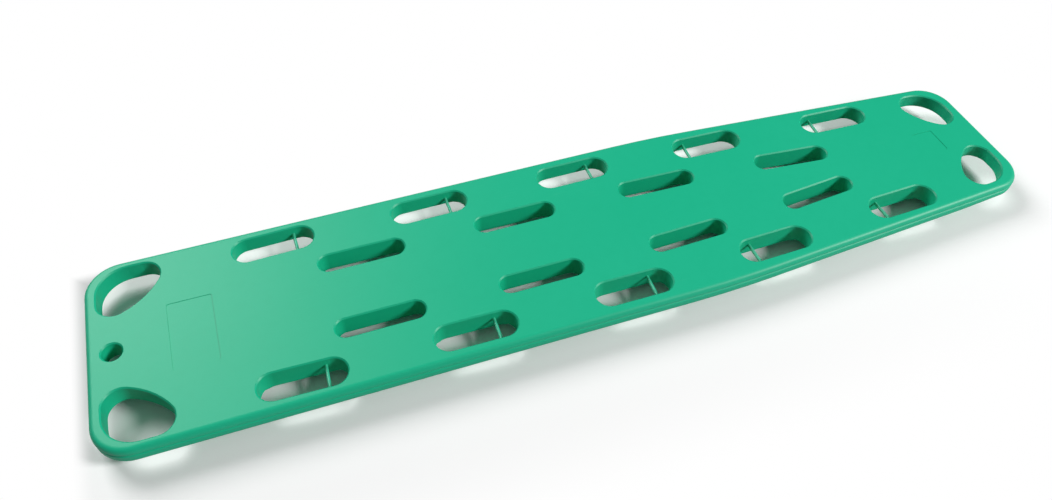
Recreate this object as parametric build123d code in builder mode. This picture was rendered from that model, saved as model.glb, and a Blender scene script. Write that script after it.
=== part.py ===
from build123d import *
import os

# Full-length spine board, lying on its feet.
# Millimetres; X runs from the head end to the foot end, Z up, the floor at Z 0, the middle of the board at X 0.

# Plate outline
LENGTH = 1830.0
HEAD_HALF_WIDTH = 197.8
SHOULDER_X = 215.0
SHOULDER_HALF_WIDTH = 203.2
FOOT_HALF_WIDTH = 156.3
HEAD_CORNER_RADIUS = 64.0
FOOT_CORNER_RADIUS = 64.0
SHOULDER_RADIUS = 2400.0

# Plate section
PLATE_THICKNESS = 38.0
WALL = 3.2
RIM_RADIUS = 10.0
BASE_RADIUS = 11.0
GROOVE_BELOW_DECK = 16.0
GROOVE_DEPTH = 4.0
OPENING_BEVEL = 2.4
GRIP_BEVEL = 5.6
UNDER_BEVEL = 2.5

# Underside: deeper middle between the hand holes, and a ramp up to the foot end
BELLY_DEPTH = 4.0
BELLY_SIDE_STRIP = 69.0
BELLY_END_STRIP = 155.0
BELLY_CORNER_RADIUS = 40.0
BELLY_BEVEL = 2.0
RAMP_LENGTH = 150.0
RAMP_RISE = 6.0

# Feet moulded into the underside, between the hand holes
FOOT_HEIGHT = 22.0
FOOT_LENGTH = 112.0
FOOT_WIDTH = 44.0
FOOT_DRAFT = 8.0
FOOT_BEVEL = 3.0
HEAD_END_FOOT_LENGTH = 100.0
HEAD_END_FOOT_GAP = 12.0
FOOT_END_FOOT_LENGTH = 64.0
FOOT_END_FOOT_GAP = 24.0

# Hand holes along both sides, from the head end
HAND_HOLE_PITCH = 301.2
HAND_HOLE_MIDDLE_X = 22.8
HAND_HOLE_LENGTH = 151.0
HAND_HOLE_WIDTH = 54.0
HAND_HOLE_Y = [154.2, 153.6, 154.2, 145.2, 128.0]
HAND_HOLE_ANGLE = [1.6, 0.8, 0.5, -1.4, -2.0]

# Strap slots, each midway between two hand holes
STRAP_SLOT_LENGTH = 162.0
STRAP_SLOT_WIDTH = 39.0
STRAP_SLOT_Y = [76.2, 76.2, 72.7, 52.6]
STRAP_SLOT_ANGLE = [0.0, 0.0, -1.6, -5.0]

# Corner hand holes
HEAD_HOLE_REACH_X = 124.0
HEAD_HOLE_REACH_Y = 112.0
HEAD_HOLE_END_STRIP = 20.5
HEAD_HOLE_SIDE_STRIP = 15.8
FOOT_HOLE_REACH_X = 100.0
FOOT_HOLE_REACH_Y = 112.0
FOOT_HOLE_END_STRIP = 25.0
FOOT_HOLE_SIDE_STRIP = 20.8
CORNER_HOLE_OUTER_RADIUS = 56.0
CORNER_HOLE_TIP_RADIUS = 30.0
CORNER_HOLE_BULGE = 29.0

# Hanging hole in the middle of the head end
HANGING_HOLE_RADIUS = 17.5
HANGING_HOLE_END_STRIP = 24.5

# Shallow bare panels in the deck
PANEL_DEPTH = 0.8
PANEL_CORNER_RADIUS = 4.0
HEAD_PANEL_LENGTH = 78.0
HEAD_PANEL_WIDTH = 144.0
HEAD_PANEL_FROM_END = 136.0
FOOT_PANEL_LENGTH = 50.0
FOOT_PANEL_WIDTH = 60.0
FOOT_PANEL_FROM_END = 105.0

# Strap pins across the hand holes
PIN_RADIUS = 3.0
PIN_FIT = 0.1
PIN_OFFSET = 40.0
PIN_SEAT_DEPTH = 10.0
PIN_END_GAP = 0.5
PIN_BOSS_WALL = 3.0
PINS_TOWARDS_FOOT = 3

# Stiffening tubes inside the foam
TUBE_RADIUS = 6.0
TUBE_WALL = 1.5
TUBE_Y = 106.3
TUBE_HEAD_X = -735.0
TUBE_LENGTH = 1000.0
TUBE_PLUG_FLANGE = 8.0
TUBE_PLUG_FLANGE_LENGTH = 4.0
TUBE_PLUG_SPIGOT_LENGTH = 14.0
TUBE_PLUG_FIT = 0.1

# Plugs that close the foam-filling and vent holes in the underside
FILL_PLUG_RADIUS = 8.0
FILL_PLUG_HEAD_RADIUS = 11.0
FILL_PLUG_HEAD_THICKNESS = 1.6
FILL_PLUG_LENGTH = 10.0
FILL_PLUG_FROM_END = 225.0
FILL_PLUG_FIT = 0.1

# Clearance between the foam and what it fills or surrounds
FOAM_GAP = 0.3

# Heights and places that follow from the sizes above
DECK_Z = FOOT_HEIGHT + PLATE_THICKNESS
PARTING_Z = DECK_Z - GROOVE_BELOW_DECK
BELLY_Z = FOOT_HEIGHT - BELLY_DEPTH
MIDDLE_Z = FOOT_HEIGHT + PLATE_THICKNESS / 2
HEAD_X = -LENGTH / 2
FOOT_X = LENGTH / 2
SIDES = {"left": 1, "right": -1}
HAND_HOLE_X = [HAND_HOLE_MIDDLE_X + (i - 2) * HAND_HOLE_PITCH for i in range(5)]
STRAP_SLOT_X = [(a + b) / 2 for a, b in zip(HAND_HOLE_X, HAND_HOLE_X[1:])]
FOOT_GAP_X = STRAP_SLOT_X
TUBE_FOOT_X = TUBE_HEAD_X + TUBE_LENGTH


# Share of the wall by which an edge moved inwards is smaller, for a bevel that stays parallel and for a round one
BEVEL_SHARE = 2 - 2**0.5
ROUND_TO_BEVEL = 0.7


def half_width(x):
    """Half width of the outline at x, before its corners are rounded."""
    if x < SHOULDER_X:
        share = (x - HEAD_X) / (SHOULDER_X - HEAD_X)
        return HEAD_HALF_WIDTH + share * (SHOULDER_HALF_WIDTH - HEAD_HALF_WIDTH)
    share = (x - SHOULDER_X) / (FOOT_X - SHOULDER_X)
    return SHOULDER_HALF_WIDTH + share * (FOOT_HALF_WIDTH - SHOULDER_HALF_WIDTH)


def board_outline(inset):
    """Outline of the board seen from above, moved inwards by inset."""
    corners = [
        (HEAD_X, HEAD_HALF_WIDTH),
        (SHOULDER_X, SHOULDER_HALF_WIDTH),
        (FOOT_X, FOOT_HALF_WIDTH),
        (FOOT_X, -FOOT_HALF_WIDTH),
        (SHOULDER_X, -SHOULDER_HALF_WIDTH),
        (HEAD_X, -HEAD_HALF_WIDTH),
    ]
    with BuildSketch() as outline:
        with BuildLine():
            Polyline(*corners, close=True)
        make_face()
        fillet(outline.vertices().group_by(Axis.X)[0], HEAD_CORNER_RADIUS)
        fillet(outline.vertices().group_by(Axis.X)[-1], FOOT_CORNER_RADIUS)
        shoulders = outline.vertices().filter_by_position(Axis.X, SHOULDER_X - 1, SHOULDER_X + 1)
        fillet(shoulders, SHOULDER_RADIUS)
        if inset > 0:
            offset(amount=-inset)
    return outline.sketch


def corner_hole(end_x, inward, side_strip, reach_x, reach_y, grow):
    """Rounded triangle in one corner of the board, its long side bulging towards the middle."""
    inner_x = end_x + inward * reach_x
    side_y = half_width(end_x) - side_strip
    side_y_inner = half_width(inner_x) - side_strip
    with BuildSketch() as hole:
        with BuildLine():
            Line((end_x, side_y - reach_y), (end_x, side_y))
            Line((end_x, side_y), (inner_x, side_y_inner))
            SagittaArc((inner_x, side_y_inner), (end_x, side_y - reach_y), inward * CORNER_HOLE_BULGE)
        make_face()
        fillet(hole.vertices().sort_by_distance((end_x, side_y))[0], CORNER_HOLE_OUTER_RADIUS)
        for tip in ((inner_x, side_y_inner), (end_x, side_y - reach_y)):
            fillet(hole.vertices().sort_by_distance(tip)[0], CORNER_HOLE_TIP_RADIUS)
        if grow > 0:
            offset(amount=grow)
    return hole.sketch


def openings(grow):
    """All the openings through the plate seen from above, each widened by grow on every side."""
    head_hole = corner_hole(
        HEAD_X + HEAD_HOLE_END_STRIP, 1, HEAD_HOLE_SIDE_STRIP, HEAD_HOLE_REACH_X, HEAD_HOLE_REACH_Y, grow
    )
    foot_hole = corner_hole(
        FOOT_X - FOOT_HOLE_END_STRIP, -1, FOOT_HOLE_SIDE_STRIP, FOOT_HOLE_REACH_X, FOOT_HOLE_REACH_Y, grow
    )
    with BuildSketch() as holes:
        for side in SIDES.values():
            for x, y, angle in zip(HAND_HOLE_X, HAND_HOLE_Y, HAND_HOLE_ANGLE):
                with Locations((x, side * y)):
                    SlotOverall(HAND_HOLE_LENGTH + 2 * grow, HAND_HOLE_WIDTH + 2 * grow, rotation=side * angle)
            for x, y, angle in zip(STRAP_SLOT_X, STRAP_SLOT_Y, STRAP_SLOT_ANGLE):
                with Locations((x, side * y)):
                    SlotOverall(STRAP_SLOT_LENGTH + 2 * grow, STRAP_SLOT_WIDTH + 2 * grow, rotation=side * angle)
        for hole in (head_hole, foot_hole):
            add(hole)
            add(hole.mirror(Plane.XZ))
        with Locations((HEAD_X + HANGING_HOLE_END_STRIP + HANGING_HOLE_RADIUS, 0)):
            Circle(HANGING_HOLE_RADIUS + grow)
    return holes.sketch


def feet(inset):
    """Footprints of the moulded feet, each moved inwards by inset."""
    with BuildSketch() as prints:
        for side in SIDES.values():
            for i, x in enumerate(FOOT_GAP_X):
                with Locations((x, side * (HAND_HOLE_Y[i] + HAND_HOLE_Y[i + 1]) / 2)):
                    SlotOverall(FOOT_LENGTH - 2 * inset, FOOT_WIDTH - 2 * inset)
            head_x = HAND_HOLE_X[0] - (HAND_HOLE_LENGTH + HEAD_END_FOOT_LENGTH) / 2 - HEAD_END_FOOT_GAP
            with Locations((head_x, side * HAND_HOLE_Y[0])):
                SlotOverall(HEAD_END_FOOT_LENGTH - 2 * inset, FOOT_WIDTH - 2 * inset)
            foot_x = HAND_HOLE_X[-1] + (HAND_HOLE_LENGTH + FOOT_END_FOOT_LENGTH) / 2 + FOOT_END_FOOT_GAP
            with Locations((foot_x, side * HAND_HOLE_Y[-1])):
                SlotOverall(FOOT_END_FOOT_LENGTH - 2 * inset, FOOT_WIDTH - 2 * inset)
    return prints.sketch


def belly_outline(inset):
    """Outline of the deeper middle of the underside, moved inwards by inset."""
    head_x = HEAD_X + BELLY_END_STRIP
    foot_x = FOOT_X - BELLY_END_STRIP
    stations = (head_x, SHOULDER_X, foot_x)
    side = [(x, half_width(x) - BELLY_SIDE_STRIP) for x in stations]
    with BuildSketch() as outline:
        with BuildLine():
            Polyline(*side, *[(x, -y) for x, y in reversed(side)], close=True)
        make_face()
        corners = outline.vertices().filter_by_position(Axis.X, SHOULDER_X - 1, SHOULDER_X + 1)
        fillet([v for v in outline.vertices() if v not in corners], BELLY_CORNER_RADIUS)
        if inset > 0:
            offset(amount=-inset)
    return outline.sketch


def lower_lobe(inset):
    """Plate below the parting groove, its underside ramped up to the foot end."""
    under_z = FOOT_HEIGHT + inset
    top_z = PARTING_Z - inset
    slope = RAMP_RISE / RAMP_LENGTH
    with BuildPart() as lobe:
        with BuildSketch(Plane.XY.offset(under_z)):
            add(board_outline(inset))
        extrude(amount=top_z - under_z)
        with BuildSketch(Plane.XZ):
            with BuildLine():
                ramp_x = FOOT_X - RAMP_LENGTH
                end_x = FOOT_X + WALL
                Polyline((ramp_x, under_z), (end_x, under_z), (end_x, under_z + slope * (end_x - ramp_x)), close=True)
            make_face()
        extrude(amount=LENGTH / 2, both=True, mode=Mode.SUBTRACT)
        rim = [face for face in lobe.faces() if face.normal_at().Z < -0.9]
        crease = {edge for edge in rim[0].edges() if edge in rim[1].edges()}
        rim_edges = [edge for face in rim for edge in face.edges() if edge not in crease]
        if inset > 0:
            chamfer(rim_edges, (BASE_RADIUS - inset) * ROUND_TO_BEVEL)
        else:
            fillet(rim_edges, BASE_RADIUS)
            fillet(lobe.edges().group_by(Axis.Z)[-1], GROOVE_DEPTH)
    return lobe.part


def upper_lobe(inset):
    """Plate above the parting groove, its rim rounded into the deck."""
    under_z = PARTING_Z + inset
    with BuildPart() as lobe:
        with BuildSketch(Plane.XY.offset(under_z)):
            add(board_outline(inset))
        extrude(amount=DECK_Z - inset - under_z)
        if inset > 0:
            chamfer(lobe.edges().group_by(Axis.Z)[-1], (RIM_RADIUS - inset) * ROUND_TO_BEVEL)
        else:
            fillet(lobe.edges().group_by(Axis.Z)[-1], RIM_RADIUS)
            fillet(lobe.edges().group_by(Axis.Z)[0], GROOVE_DEPTH)
    return lobe.part


def belly(inset):
    """Deeper middle of the underside, cut through by the openings."""
    with BuildPart() as middle:
        with BuildSketch(Plane.XY.offset(BELLY_Z + inset)):
            add(belly_outline(inset))
        extrude(amount=MIDDLE_Z - BELLY_Z - inset)
        if inset == 0:
            chamfer(middle.edges().group_by(Axis.Z)[0], BELLY_BEVEL)
        with BuildSketch(Plane.XY):
            add(openings(inset))
        extrude(amount=DECK_Z, mode=Mode.SUBTRACT)
    return middle.part


def underside_edges(form, grips):
    """Underside edges of the openings outside the belly: those of the grips, or the ones at the head end."""
    faces = [face for face in form.faces() if face.normal_at().Z < -0.9 and face.center().Z < MIDDLE_Z]
    edges = []
    for wire in [wire for face in faces for wire in face.inner_wires()]:
        x, y, _ = wire.center()
        in_belly = abs(y) < half_width(x) - BELLY_SIDE_STRIP and abs(x) < FOOT_X - BELLY_END_STRIP
        is_grip = x > HEAD_X + BELLY_END_STRIP
        if is_grip == grips and not in_belly:
            edges += wire.edges()
    return edges


def board_form(inset):
    """Whole moulded form with its openings and feet, every face moved inwards by inset."""
    with BuildPart() as form:
        add(lower_lobe(inset))
        add(upper_lobe(inset))
        if inset > 0:
            with BuildSketch(Plane.XY.offset(PARTING_Z - inset)):
                add(board_outline(GROOVE_DEPTH + inset))
            extrude(amount=2 * inset)
        with BuildSketch(Plane.XY):
            add(openings(inset))
        extrude(amount=DECK_Z, mode=Mode.SUBTRACT)
        chamfer(underside_edges(form, grips=True), GRIP_BEVEL - inset * BEVEL_SHARE)
        chamfer(underside_edges(form, grips=False), UNDER_BEVEL - inset * BEVEL_SHARE)
        add(belly(inset))
        with BuildSketch(Plane.XY.offset(FOOT_HEIGHT + inset)):
            add(feet(inset))
        extrude(amount=-FOOT_HEIGHT, taper=FOOT_DRAFT)
        with BuildSketch(Plane.XY.offset(FOOT_HEIGHT + inset)):
            add(feet(inset))
        extrude(amount=RAMP_RISE)
        if inset == 0:
            chamfer(form.edges().group_by(Axis.Z)[0], FOOT_BEVEL)
    return form.part


def pin_plane(side, i):
    """Plane at the middle of a strap pin, its normal along the pin and its X axis along the hand hole."""
    towards = 1 if i < PINS_TOWARDS_FOOT else -1
    along = Vector(1, 0, 0).rotate(Axis.Z, side * HAND_HOLE_ANGLE[i])
    across = Vector(0, 1, 0).rotate(Axis.Z, side * HAND_HOLE_ANGLE[i])
    middle = Vector(HAND_HOLE_X[i], side * HAND_HOLE_Y[i], MIDDLE_Z)
    return Plane(origin=middle + along * towards * PIN_OFFSET, x_dir=along, z_dir=across)


def pin_rods(radius, length):
    """Round bars of one radius and length along all the strap pins."""
    with BuildPart() as rods:
        for side in SIDES.values():
            for i in range(len(HAND_HOLE_X)):
                with BuildSketch(pin_plane(side, i)):
                    Circle(radius)
                extrude(amount=length / 2, both=True)
    return rods.part


def tube_plane(side, x):
    """Plane across a stiffening tube at x, its normal towards the foot end."""
    return Plane(origin=(x, side * TUBE_Y, MIDDLE_Z), x_dir=(0, 1, 0), z_dir=(1, 0, 0))


def plug_plane(sign):
    """Plane of the underside at a filling plug, its normal up into the board."""
    return Plane(origin=(sign * (LENGTH / 2 - FILL_PLUG_FROM_END), 0, BELLY_Z))


def save(part, name):
    """Labels a finished piece and writes its file."""
    part.label = name
    export_step(part, f"parts/{name}.step")


os.makedirs("parts", exist_ok=True)

PIN_LENGTH = HAND_HOLE_WIDTH + 2 * PIN_SEAT_DEPTH
BOSS_LENGTH = PIN_LENGTH + 2 * PIN_BOSS_WALL

# Hollow space inside the skin: the form less a wall, round every opening and round every pin seat
with BuildPart() as cavity:
    add(board_form(WALL))
    add(pin_rods(PIN_RADIUS + PIN_BOSS_WALL, BOSS_LENGTH), mode=Mode.SUBTRACT)

# Moulded skin, one hollow shell
with BuildPart() as skin:
    add(board_form(0))
    deck = skin.faces().filter_by(Axis.Z).sort_by(Axis.Z)[-1]
    chamfer([edge for wire in deck.inner_wires() for edge in wire.edges()], OPENING_BEVEL)
    with BuildSketch(Plane.XY.offset(DECK_Z)):
        with Locations((HEAD_X + HEAD_PANEL_FROM_END + HEAD_PANEL_LENGTH / 2, 0)):
            RectangleRounded(HEAD_PANEL_LENGTH, HEAD_PANEL_WIDTH, PANEL_CORNER_RADIUS)
        with Locations((FOOT_X - FOOT_PANEL_FROM_END - FOOT_PANEL_LENGTH / 2, 0)):
            RectangleRounded(FOOT_PANEL_LENGTH, FOOT_PANEL_WIDTH, PANEL_CORNER_RADIUS)
    extrude(amount=-PANEL_DEPTH, mode=Mode.SUBTRACT)
    add(cavity.part, mode=Mode.SUBTRACT)
    add(pin_rods(PIN_RADIUS + PIN_FIT, PIN_LENGTH), mode=Mode.SUBTRACT)
    for sign in (-1, 1):
        with BuildSketch(plug_plane(sign)):
            Circle(FILL_PLUG_HEAD_RADIUS + FILL_PLUG_FIT)
        extrude(amount=FILL_PLUG_HEAD_THICKNESS + FILL_PLUG_FIT, mode=Mode.SUBTRACT)
        with BuildSketch(plug_plane(sign)):
            Circle(FILL_PLUG_RADIUS + FILL_PLUG_FIT)
        extrude(amount=WALL, mode=Mode.SUBTRACT)
save(skin.part, "board_skin")

# Foam core, which fills the skin and holds the tubes
with BuildPart() as core:
    add(board_form(WALL + FOAM_GAP))
    add(pin_rods(PIN_RADIUS + PIN_BOSS_WALL + FOAM_GAP, BOSS_LENGTH + 2 * FOAM_GAP), mode=Mode.SUBTRACT)
    for side in SIDES.values():
        with BuildSketch(tube_plane(side, TUBE_HEAD_X)):
            Circle(TUBE_RADIUS + FOAM_GAP)
        extrude(amount=TUBE_FOOT_X - TUBE_HEAD_X, mode=Mode.SUBTRACT)
        with BuildSketch(tube_plane(side, TUBE_HEAD_X - TUBE_PLUG_FLANGE_LENGTH - FOAM_GAP)):
            Circle(TUBE_PLUG_FLANGE + FOAM_GAP)
        extrude(amount=TUBE_PLUG_FLANGE_LENGTH + 2 * FOAM_GAP, mode=Mode.SUBTRACT)
        with BuildSketch(tube_plane(side, TUBE_FOOT_X - FOAM_GAP)):
            Circle(TUBE_PLUG_FLANGE + FOAM_GAP)
        extrude(amount=TUBE_PLUG_FLANGE_LENGTH + 2 * FOAM_GAP, mode=Mode.SUBTRACT)
    for sign in (-1, 1):
        with BuildSketch(plug_plane(sign)):
            Circle(FILL_PLUG_RADIUS + FOAM_GAP)
        extrude(amount=FILL_PLUG_LENGTH + FOAM_GAP, mode=Mode.SUBTRACT)
save(core.part, "foam_core")

for side_name, side in SIDES.items():
    # Stiffening tube with a plug in each end
    with BuildPart() as tube:
        with BuildSketch(tube_plane(side, TUBE_HEAD_X)):
            Circle(TUBE_RADIUS)
            Circle(TUBE_RADIUS - TUBE_WALL, mode=Mode.SUBTRACT)
        extrude(amount=TUBE_FOOT_X - TUBE_HEAD_X)
    save(tube.part, f"stiffening_tube_{side_name}")

    for end_name, x, inward in (("head", TUBE_HEAD_X, 1), ("foot", TUBE_FOOT_X, -1)):
        with BuildPart() as plug:
            with BuildSketch(tube_plane(side, x)):
                Circle(TUBE_PLUG_FLANGE)
            extrude(amount=-inward * TUBE_PLUG_FLANGE_LENGTH)
            with BuildSketch(tube_plane(side, x)):
                Circle(TUBE_RADIUS - TUBE_WALL - TUBE_PLUG_FIT)
            extrude(amount=inward * TUBE_PLUG_SPIGOT_LENGTH)
        save(plug.part, f"tube_plug_{side_name}_{end_name}")

    # Strap pins, each pressed into a seat in both long walls of its hand hole
    for i in range(len(HAND_HOLE_X)):
        with BuildPart() as pin:
            with BuildSketch(pin_plane(side, i)):
                Circle(PIN_RADIUS)
            extrude(amount=PIN_LENGTH / 2 - PIN_END_GAP, both=True)
        save(pin.part, f"strap_pin_{side_name}_{i + 1}")

for plug_name, sign in (("vent_plug", -1), ("fill_plug", 1)):
    with BuildPart() as plug:
        with BuildSketch(plug_plane(sign)):
            Circle(FILL_PLUG_HEAD_RADIUS)
        extrude(amount=FILL_PLUG_HEAD_THICKNESS)
        with BuildSketch(plug_plane(sign)):
            Circle(FILL_PLUG_RADIUS)
        extrude(amount=FILL_PLUG_LENGTH)
    save(plug.part, plug_name)
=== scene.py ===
"""Spine board: finishes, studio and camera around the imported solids.

Everything is in metres, in the part's own frame: +X towards the foot end, +Z up, the floor at Z 0.
"""

import logging
import math
from dataclasses import dataclass
from enum import Enum
from typing import Any, Union

import bmesh  # noqa: E402
import bpy  # noqa: E402
from mathutils import Matrix, Vector  # noqa: E402


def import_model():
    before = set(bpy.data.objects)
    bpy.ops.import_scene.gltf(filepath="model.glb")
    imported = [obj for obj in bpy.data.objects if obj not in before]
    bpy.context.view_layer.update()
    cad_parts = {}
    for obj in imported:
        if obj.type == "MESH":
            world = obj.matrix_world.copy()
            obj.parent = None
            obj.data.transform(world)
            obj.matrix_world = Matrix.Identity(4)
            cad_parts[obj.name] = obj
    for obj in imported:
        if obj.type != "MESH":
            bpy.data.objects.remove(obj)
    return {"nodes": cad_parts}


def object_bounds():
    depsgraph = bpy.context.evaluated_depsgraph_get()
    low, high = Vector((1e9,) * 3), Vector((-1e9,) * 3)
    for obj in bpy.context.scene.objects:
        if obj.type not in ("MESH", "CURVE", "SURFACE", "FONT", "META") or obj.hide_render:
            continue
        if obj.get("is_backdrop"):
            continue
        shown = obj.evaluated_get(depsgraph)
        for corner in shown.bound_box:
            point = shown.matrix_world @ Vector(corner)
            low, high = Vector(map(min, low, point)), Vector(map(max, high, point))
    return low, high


log = logging.getLogger("spine_board")

Colour = tuple[float, float, float]
Span = tuple[float, float]
Stretch = tuple[float, float, float]
Value = Union[float, "Signal"]

WHITE: Colour = (1.0, 1.0, 1.0)
OPAQUE = 1.0
WHITE_STRENGTH = 1.0
EVEN: Stretch = (1.0, 1.0, 1.0)
NOISE_ROUGHNESS = 0.55
NOISE_MIDDLE = 0.5

# The colour sockets of a Mix node, which share their names with its number sockets.
MIX_FIRST_COLOUR = 6
MIX_SECOND_COLOUR = 7
MIX_COLOUR_RESULT = 2


class Spread(Enum):
    """How fast a pattern changes over the surface, as repeats per metre."""

    BROAD = 3.0
    PATCHY = 14.0
    MOTTLED = 55.0
    PEBBLED = 420.0
    GRAINED = 1600.0


class Layers(Enum):
    """How many finer layers a pattern has."""

    FEW = 2.0
    SOME = 3.0
    MANY = 4.0
    MOST = 6.0


class Signal:
    """One output socket of a shader node, with arithmetic that adds Math nodes."""

    def __init__(self, graph: "Graph", socket: bpy.types.NodeSocket) -> None:
        """Wraps a socket.

        Args:
            graph: the graph that the socket's node is in.
            socket: the output socket.
        """
        self.graph = graph
        self.socket = socket

    def _math(self, operation: str, *values: Value) -> "Signal":
        """Adds one Math node.

        Args:
            operation: the node's operation.
            values: its inputs, in order.

        Returns:
            The node's result.
        """
        inputs = {index: value for index, value in enumerate(values)}
        return self.graph.add("ShaderNodeMath", {"operation": operation}, inputs)

    def __add__(self, other: Value) -> "Signal":
        """Returns the sum."""
        return self._math("ADD", self, other)

    __radd__ = __add__

    def __mul__(self, other: Value) -> "Signal":
        """Returns the product."""
        return self._math("MULTIPLY", self, other)

    __rmul__ = __mul__

    def __sub__(self, other: Value) -> "Signal":
        """Returns the difference."""
        return self._math("SUBTRACT", self, other)

    def __rsub__(self, other: Value) -> "Signal":
        """Returns the difference the other way round."""
        return self._math("SUBTRACT", other, self)

    def root(self) -> "Signal":
        """Returns the square root."""
        return self._math("SQRT", self)

    def least(self, other: Value) -> "Signal":
        """Returns the smaller of two."""
        return self._math("MINIMUM", self, other)

    def most(self, other: Value) -> "Signal":
        """Returns the larger of two."""
        return self._math("MAXIMUM", self, other)

    def ramp(self, low: float, high: float) -> "Signal":
        """Rises smoothly from 0 at low to 1 at high, or falls where high is below low.

        Args:
            low: where the result is 0.
            high: where the result is 1.

        Returns:
            The share between the two.
        """
        start, end, first, last = (low, high, 0.0, 1.0) if low < high else (high, low, 1.0, 0.0)
        settings = {"interpolation_type": "SMOOTHSTEP", "clamp": True}
        values = {"Value": self, "From Min": start, "From Max": end, "To Min": first, "To Max": last}
        return self.graph.add("ShaderNodeMapRange", settings, values)


class Graph:
    """The node tree of one material or of the world."""

    def __init__(self, owner: bpy.types.Material | bpy.types.World, ending: str) -> None:
        """Empties the tree of a material or world.

        Args:
            owner: the material or world.
            ending: the type of its output node.
        """
        owner.use_nodes = True
        self.owner = owner
        self.ending = ending
        self.tree = owner.node_tree
        self.tree.nodes.clear()

    @classmethod
    def of_material(cls, name: str) -> "Graph":
        """Makes a material with an empty tree.

        Args:
            name: the material's name.

        Returns:
            Its tree.
        """
        return cls(bpy.data.materials.new(name), "ShaderNodeOutputMaterial")

    def add(self, kind: str, settings: dict[str, Any], values: dict[Any, Any], output: Any = 0) -> Signal:
        """Adds one node, with its settings made before its inputs.

        Args:
            kind: the node's type.
            settings: its properties.
            values: a number, colour or signal for each input, by name or place.
            output: the output that is returned, by name or place.

        Returns:
            That output.
        """
        node = self.tree.nodes.new(kind)
        for key, value in settings.items():
            setattr(node, key, value)
        for key, value in values.items():
            if isinstance(value, Signal):
                self.tree.links.new(value.socket, node.inputs[key])
            else:
                node.inputs[key].default_value = value
        return Signal(self, node.outputs[output])

    def place(self) -> Signal:
        """Returns the point of the surface in the part's frame."""
        return self.add("ShaderNodeTexCoord", {}, {}, "Object")

    def axes(self) -> tuple[Signal, Signal, Signal]:
        """Returns the point's X, Y and Z."""
        split = self.add("ShaderNodeSeparateXYZ", {}, {0: self.place()})
        node = split.socket.node
        return tuple(Signal(self, node.outputs[i]) for i in range(3))

    def noise(self, spread: Spread, layers: Layers = Layers.SOME, stretch: Stretch = EVEN) -> Signal:
        """Adds a cloudy pattern.

        Args:
            spread: how fast it changes.
            layers: how many finer layers it has.
            stretch: how much it is squeezed along each axis.

        Returns:
            A value about 0.5.
        """
        point = self.add("ShaderNodeMapping", {}, {"Vector": self.place(), "Scale": stretch})
        values = {
            "Vector": point,
            "Scale": spread.value,
            "Detail": layers.value,
            "Roughness": NOISE_ROUGHNESS,
        }
        return self.add("ShaderNodeTexNoise", {}, values, "Fac")

    def mix(self, share: Value, first: Any, second: Any) -> Signal:
        """Mixes two colours.

        Args:
            share: 0 for the first, 1 for the second.
            first: a colour or a signal.
            second: a colour or a signal.

        Returns:
            The mixed colour.
        """
        colours = [c if isinstance(c, Signal) else (*c, OPAQUE) for c in (first, second)]
        values = {"Factor": share, MIX_FIRST_COLOUR: colours[0], MIX_SECOND_COLOUR: colours[1]}
        return self.add("ShaderNodeMix", {"data_type": "RGBA"}, values, MIX_COLOUR_RESULT)

    def bump(self, height: Signal, depth: float, strength: float, normal: Signal | None = None) -> Signal:
        """Adds relief to the surface.

        Args:
            height: the relief, from 0 to 1.
            depth: its real depth in metres.
            strength: how much of it shows.
            normal: a coarser relief that it adds to.

        Returns:
            The bent normal.
        """
        values = {"Strength": strength, "Distance": depth, "Height": height}
        if normal is not None:
            values["Normal"] = normal
        return self.add("ShaderNodeBump", {}, values)

    def surface(self, values: dict[str, Any]) -> bpy.types.Material:
        """Ends the tree in a surface shader.

        Args:
            values: the shader's inputs by name.

        Returns:
            The material.
        """
        shader = self.add("ShaderNodeBsdfPrincipled", {}, values)
        return self.end(shader)

    def end(self, shader: Signal) -> bpy.types.Material | bpy.types.World:
        """Ends the tree in any shader.

        Args:
            shader: the shader's output.

        Returns:
            The material or world.
        """
        output = self.tree.nodes.new(self.ending)
        self.tree.links.new(shader.socket, output.inputs["Surface"])
        return self.owner


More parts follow.
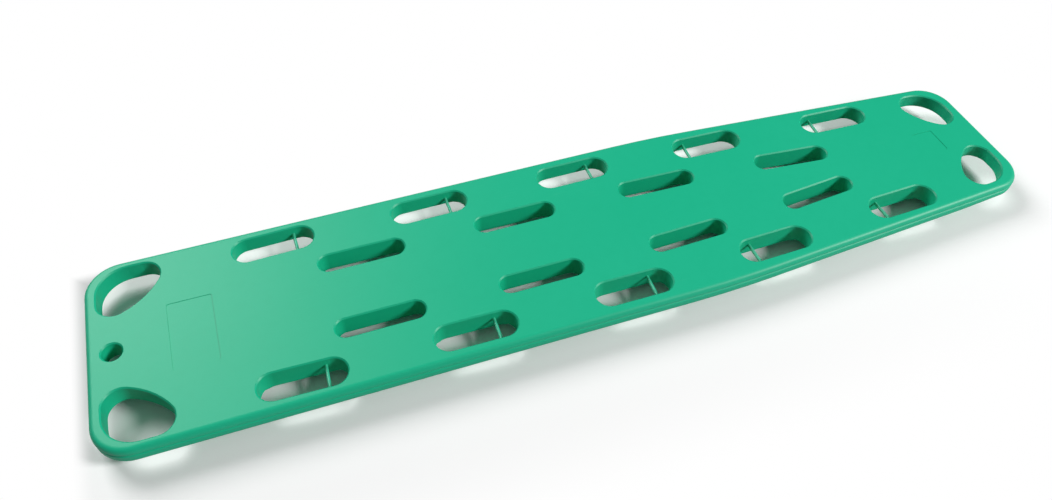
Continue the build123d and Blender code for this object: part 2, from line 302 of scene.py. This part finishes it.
@dataclass(frozen=True)
class MouldedPolyethylene:
    """Green rotationally moulded polyethylene with a fine grain and light scuffs."""

    name: str = "moulded_green"
    colour: Colour = (0.005, 0.490, 0.266)
    pale: Colour = (0.012, 0.510, 0.290)
    deep: Colour = (0.003, 0.455, 0.240)
    scuff: Colour = (0.090, 0.600, 0.390)
    roughness: float = 0.46
    specular: float = 0.40
    grain_depth: float = 0.00006
    grain_strength: float = 0.45
    peel_depth: float = 0.00016
    peel_strength: float = 0.35
    peel_roughness: float = 0.10
    pale_span: Span = (0.3, 0.75)
    pale_share: float = 0.45
    deep_span: Span = (0.42, 0.7)
    deep_share: float = 0.16
    rub_stretch: Stretch = (0.35, 1.0, 1.0)
    rub_and_sheen_span: Span = (0.55, 0.72)
    streak_stretch: Stretch = (0.05, 1.0, 1.0)
    streak_span: Span = (0.60, 0.72)
    streak_share: float = 0.12
    foot_wear_height: float = 0.004
    foot_wear_share: float = 0.5
    worn_roughness: float = 0.15

    def make(self) -> bpy.types.Material:
        """Returns the material."""
        graph = Graph.of_material(self.name)
        _, _, z = graph.axes()
        broad = graph.noise(Spread.BROAD, Layers.FEW)
        mottle = graph.noise(Spread.MOTTLED, Layers.MANY)
        base = graph.mix(broad.ramp(*self.pale_span) * self.pale_share, self.colour, self.pale)
        base = graph.mix(mottle.ramp(*self.deep_span) * self.deep_share, base, self.deep)
        # On the board this patch mask is real scuffing only, with no sheen.
        rub_and_sheen = graph.noise(Spread.PATCHY, Layers.MOST, self.rub_stretch).ramp(*self.rub_and_sheen_span)
        streak = graph.noise(Spread.PEBBLED, Layers.FEW, self.streak_stretch).ramp(*self.streak_span)
        low = z.ramp(self.foot_wear_height, 0.0)
        worn = (rub_and_sheen * streak * self.streak_share + low * rub_and_sheen * self.foot_wear_share).least(1.0)
        base = graph.mix(worn, base, self.scuff)
        pebble = graph.noise(Spread.PEBBLED, Layers.FEW)
        grain = graph.noise(Spread.GRAINED, Layers.FEW)
        relief = graph.bump(pebble, self.peel_depth, self.peel_strength)
        relief = graph.bump(grain, self.grain_depth, self.grain_strength, relief)
        uneven = (pebble - NOISE_MIDDLE) * self.peel_roughness
        rough = self.roughness + uneven + worn * self.worn_roughness
        return graph.surface(
            {
                "Base Color": base,
                "Roughness": rough,
                "Specular IOR Level": self.specular,
                "Normal": relief,
            }
        )


@dataclass(frozen=True)
class PinPlastic:
    """The board's green plastic, painted a little paler, with paler patches at random: a painted sheen.
    """

    name: str = "pin_green"
    # Painted sheen: both colours are paler than the board's green, the second one in random patches.
    colour: Colour = (0.040, 0.500, 0.300)
    painted_sheen: Colour = (0.120, 0.580, 0.400)
    rub_and_sheen_span: Span = (0.45, 0.7)
    painted_sheen_share: float = 0.35
    roughness: float = 0.30
    scratch_stretch: Stretch = (1.0, 0.12, 1.0)
    scratch_roughness: float = 0.12
    scratch_depth: float = 0.00005
    scratch_strength: float = 0.4

    def make(self) -> bpy.types.Material:
        """Returns the material."""
        graph = Graph.of_material(self.name)
        # Random patches where the paler painted sheen colour is mixed in.
        rub_and_sheen = graph.noise(Spread.MOTTLED, Layers.SOME).ramp(*self.rub_and_sheen_span)
        scratch = graph.noise(Spread.PEBBLED, Layers.FEW, self.scratch_stretch)
        return graph.surface(
            {
                "Base Color": graph.mix(rub_and_sheen * self.painted_sheen_share, self.colour, self.painted_sheen),
                "Roughness": self.roughness + scratch * self.scratch_roughness,
                "Normal": graph.bump(scratch, self.scratch_depth, self.scratch_strength),
            }
        )


@dataclass(frozen=True)
class CellFoam:
    """Pale closed-cell foam with darker cells."""

    name: str = "cell_foam"
    colour: Colour = (0.80, 0.70, 0.46)
    cell: Colour = (0.62, 0.50, 0.28)
    cells_per_metre: float = 700.0
    tone_span: Span = (0.35, 0.7)
    tone_share: float = 0.4
    cell_span: Span = (0.5, 0.1)
    cell_share: float = 0.35
    cell_depth: float = 0.0005
    cell_strength: float = 0.7
    roughness: float = 0.9

    def make(self) -> bpy.types.Material:
        """Returns the material."""
        graph = Graph.of_material(self.name)
        pattern = {"Vector": graph.place(), "Scale": self.cells_per_metre}
        cells = graph.add("ShaderNodeTexVoronoi", {}, pattern, "Distance")
        tone = graph.noise(Spread.PATCHY, Layers.SOME)
        base = graph.mix(tone.ramp(*self.tone_span) * self.tone_share, self.colour, self.cell)
        base = graph.mix(cells.ramp(*self.cell_span) * self.cell_share, base, self.cell)
        return graph.surface(
            {
                "Base Color": base,
                "Roughness": self.roughness,
                "Normal": graph.bump(cells, self.cell_depth, self.cell_strength),
            }
        )


@dataclass(frozen=True)
class GlassFibre:
    """Drawn tube of long glass fibres in clear resin."""

    name: str = "glass_fibre"
    colour: Colour = (0.50, 0.53, 0.42)
    strand: Colour = (0.72, 0.73, 0.64)
    strand_stretch: Stretch = (0.01, 1.0, 1.0)
    strand_span: Span = (0.4, 0.65)
    strand_roughness: float = 0.15
    strand_depth: float = 0.00008
    strand_strength: float = 0.5
    roughness: float = 0.28

    def make(self) -> bpy.types.Material:
        """Returns the material."""
        graph = Graph.of_material(self.name)
        strands = graph.noise(Spread.GRAINED, Layers.FEW, self.strand_stretch)
        return graph.surface(
            {
                "Base Color": graph.mix(strands.ramp(*self.strand_span), self.colour, self.strand),
                "Roughness": self.roughness + strands * self.strand_roughness,
                "Normal": graph.bump(strands, self.strand_depth, self.strand_strength),
            }
        )


@dataclass(frozen=True)
class BlackPlug:
    """Black moulded polyamide."""

    name: str = "black_plug"
    colour: Colour = (0.022, 0.022, 0.023)
    dust: Colour = (0.07, 0.07, 0.068)
    dust_span: Span = (0.5, 0.75)
    dust_share: float = 0.5
    dust_roughness: float = 0.15
    dust_depth: float = 0.0001
    dust_strength: float = 0.3
    roughness: float = 0.45

    def make(self) -> bpy.types.Material:
        """Returns the material."""
        graph = Graph.of_material(self.name)
        dust = graph.noise(Spread.PEBBLED, Layers.SOME)
        share = dust.ramp(*self.dust_span) * self.dust_share
        return graph.surface(
            {
                "Base Color": graph.mix(share, self.colour, self.dust),
                "Roughness": self.roughness + dust * self.dust_roughness,
                "Normal": graph.bump(dust, self.dust_depth, self.dust_strength),
            }
        )


@dataclass
class Dressing:
    """Puts finishes on the solids that stay as they are."""

    nodes: dict[str, bpy.types.Object]
    done: int = 0

    def dress(self, start: str, material: bpy.types.Material) -> None:
        """Gives one finish to every node whose name starts with a word.

        Args:
            start: the first letters of the nodes' names.
            material: the finish.
        """
        for name, node in sorted(self.nodes.items()):
            if name.startswith(start):
                node.data.materials.clear()
                node.data.materials.append(material)
                self.done += 1
                log.info("dressed %s in %s", name, material.name)


@dataclass
class Lamp:
    """A soft rectangular lamp that points at a spot on the board."""

    name: str
    place: tuple[float, float, float]
    target: tuple[float, float, float]
    size: tuple[float, float]
    watts: float
    colour: Colour = WHITE

    def hang(self) -> bpy.types.Object:
        """Returns the lamp's object."""
        data = bpy.data.lights.new(self.name, "AREA")
        data.shape = "RECTANGLE"
        data.size, data.size_y = self.size
        data.energy = self.watts
        data.color = self.colour
        lamp = bpy.data.objects.new(self.name, data)
        bpy.context.scene.collection.objects.link(lamp)
        lamp.location = self.place
        towards = Vector(self.target) - Vector(self.place)
        lamp.rotation_mode = "QUATERNION"
        lamp.rotation_quaternion = towards.to_track_quat("-Z", "Y")
        return lamp


def white_light(strength: float) -> dict[str, Any]:
    """Gives the inputs of a shader that sends out white light.

    Args:
        strength: how bright it is, where 1 renders as white.

    Returns:
        The inputs by name.
    """
    return {"Color": (*WHITE, OPAQUE), "Strength": strength}


@dataclass
class Studio:
    """Pale floor, soft lamps and the world behind them."""

    floor_half: float = 9.0
    floor_colour: Colour = (0.55, 0.55, 0.55)
    floor_seen: Colour = WHITE
    shadow_reach: Span = (0.12, 0.30)
    clean_reach: Span = (0.010, 0.045)
    sky_level: float = 0.12
    lamps: tuple[Lamp, ...] = (
        Lamp(
            name="right_front_lamp",
            place=(6.4, -4.1, 4.9),
            target=(0.0, 0.0, 0.0),
            size=(2.0, 2.0),
            watts=683.0,
        ),
        Lamp(
            name="back_left_lamp",
            place=(-2.4, 4.0, 4.2),
            target=(0.0, 0.0, 0.0),
            size=(3.0, 3.0),
            watts=244.0,
        ),
    )

    def build(self, box: tuple[Vector, Vector]) -> None:
        """Makes the floor, the world and the lamps.

        Args:
            box: the lowest and highest corners of the board.
        """
        self._floor(box)
        self._world()
        for lamp in self.lamps:
            lamp.hang()
            log.info("lamp %s", lamp.name)

    def _floor(self, box: tuple[Vector, Vector]) -> None:
        """Makes the floor, which turns plain white a little way from the board.

        Args:
            box: the lowest and highest corners of the board.
        """
        mesh = bpy.data.meshes.new("floor")
        sheet = bmesh.new()
        bmesh.ops.create_grid(sheet, x_segments=1, y_segments=1, size=self.floor_half)
        sheet.to_mesh(mesh)
        sheet.free()
        floor = bpy.data.objects.new("floor", mesh)
        bpy.context.scene.collection.objects.link(floor)
        graph = Graph.of_material("floor_paper")
        seen = graph.add("ShaderNodeLightPath", {}, {}, "Is Camera Ray")
        tone = graph.mix(seen, self.floor_colour, self.floor_seen)
        paper = graph.add("ShaderNodeBsdfDiffuse", {}, {"Color": tone})
        white = graph.add("ShaderNodeEmission", {}, white_light(WHITE_STRENGTH))
        x, y, _ = graph.axes()
        right = (x - box[1].x).most(0.0)
        front = (box[0].y - y).most(0.0)
        left_or_back = (box[0].x - x).most(y - box[1].y)
        shaded_side = (right * right + front * front).root().ramp(*self.shadow_reach)
        clean_side = left_or_back.ramp(*self.clean_reach)
        share = shaded_side.most(clean_side) * seen
        shown = graph.add("ShaderNodeMixShader", {}, {0: share, 1: paper, 2: white})
        mesh.materials.append(graph.end(shown))
        floor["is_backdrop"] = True

    def _world(self) -> None:
        """Makes the even sky, white where the camera sees it."""
        world = bpy.data.worlds.new("studio_sky")
        bpy.context.scene.world = world
        graph = Graph(world, "ShaderNodeOutputWorld")
        seen = graph.add("ShaderNodeLightPath", {}, {}, "Is Camera Ray")
        sky = graph.add("ShaderNodeBackground", {}, white_light(self.sky_level))
        white = graph.add("ShaderNodeBackground", {}, white_light(WHITE_STRENGTH))
        graph.end(graph.add("ShaderNodeMixShader", {}, {0: seen, 1: sky, 2: white}))


@dataclass
class PhotoCamera:
    """Camera at the photograph's viewing angle."""

    place: tuple[float, float, float] = (-0.5076, -0.9586, 1.2862)
    azimuth_deg: float = -21.5326
    elevation_deg: float = 50.2788
    roll_deg: float = 2.4092
    focal_px: float = 848.615
    frame_px: int = 1052
    sensor_mm: float = 36.0
    shift_x: float = -0.0011
    clip: Span = (0.01, 50.0)

    def stand(self) -> bpy.types.Object:
        """Makes the camera and gives it to the scene.

        Returns:
            The camera's object.
        """
        a, e, roll = (math.radians(v) for v in (self.azimuth_deg, self.elevation_deg, self.roll_deg))
        back = Vector((math.sin(a) * math.cos(e), -math.cos(a) * math.cos(e), math.sin(e)))
        level = (-back).cross(Vector((0, 0, 1))).normalized()
        upright = level.cross(-back)
        right = math.cos(roll) * level + math.sin(roll) * upright
        up = -math.sin(roll) * level + math.cos(roll) * upright
        data = bpy.data.cameras.new("photo_camera")
        data.sensor_fit = "HORIZONTAL"
        data.sensor_width = self.sensor_mm
        data.lens = self.focal_px / self.frame_px * self.sensor_mm
        data.shift_x = self.shift_x
        data.clip_start, data.clip_end = self.clip
        camera = bpy.data.objects.new("photo_camera", data)
        bpy.context.scene.collection.objects.link(camera)
        turn = Matrix((right, up, back)).transposed().to_4x4()
        camera.matrix_world = Matrix.Translation(Vector(self.place)) @ turn
        bpy.context.scene.camera = camera
        return camera


def main() -> None:
    """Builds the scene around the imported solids."""
    logging.basicConfig(level=logging.INFO, format="%(name)s: %(message)s")
    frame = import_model()
    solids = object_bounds()
    PhotoCamera().stand()
    Studio().build(solids)
    dressing = Dressing(frame["nodes"])
    green = MouldedPolyethylene().make()
    finishes = {
        "board_skin": green,
        "strap_pin": PinPlastic().make(),
        "foam_core": CellFoam().make(),
        "stiffening_tube": GlassFibre().make(),
        "tube_plug": BlackPlug().make(),
        "vent_plug": green,
        "fill_plug": green,
    }
    for start, material in finishes.items():
        dressing.dress(start, material)
    log.info("%d nodes dressed", dressing.done)
    bpy.context.scene.view_settings.view_transform = "Standard"


if __name__ == "__main__":
    main()
